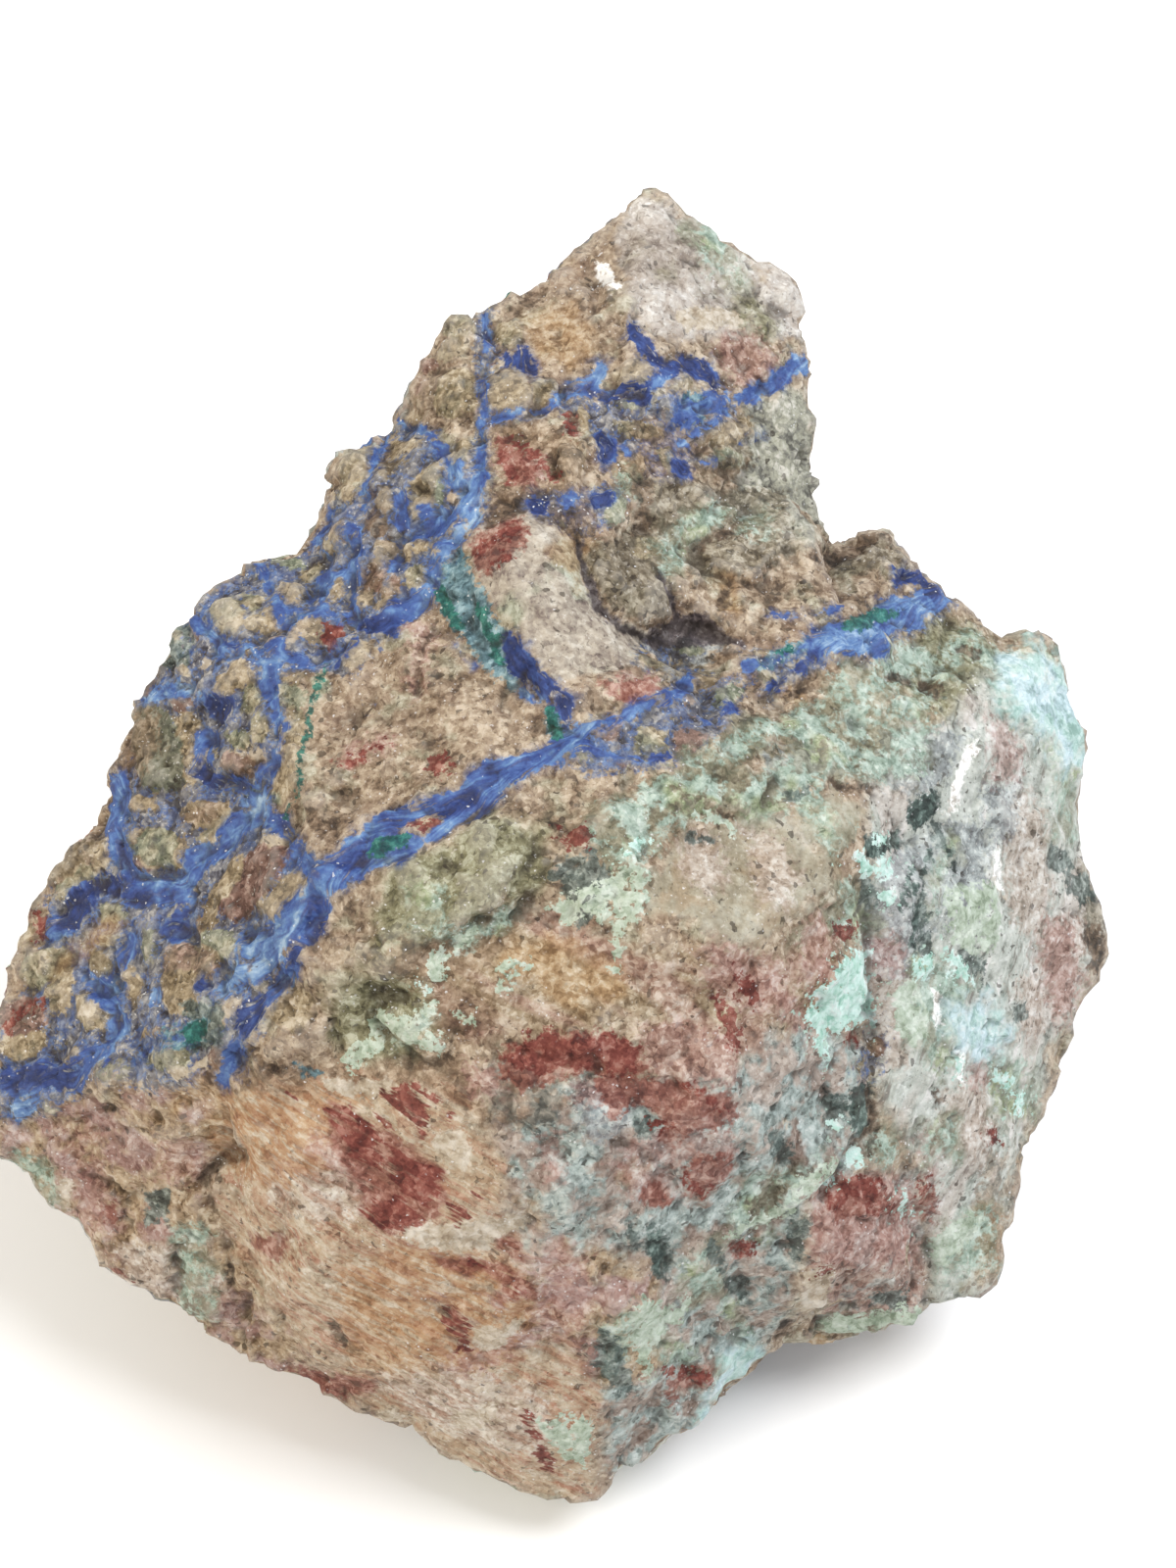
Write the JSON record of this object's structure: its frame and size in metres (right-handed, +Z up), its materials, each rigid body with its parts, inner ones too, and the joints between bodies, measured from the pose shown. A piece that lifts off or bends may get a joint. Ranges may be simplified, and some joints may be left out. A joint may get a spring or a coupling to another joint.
{
  "type": "azurite malachite specimen",
  "caption": "Hand-sized broken lump of copper ore, resting on a flat foot: blue azurite veins through tan breccia over a stained, striated front.",
  "frame": {"origin": "on the flat of the foot that the stone rests on, near the middle of the stone as seen from above", "axes": "+Z up out of the foot; the veined and stained show side faces -Y and up; +X is to the right of a viewer looking at the show side"},
  "size_m": [0.1038, 0.1025, 0.0708],
  "materials": {
    "ore": "rough broken rock, matt, tan and grey-green with red-brown stains, deep blue azurite veins and green malachite spots"
  },
  "bodies": {
    "root": {"azurite_malachite_stone": "ore"}
  },
  "joints": []
}
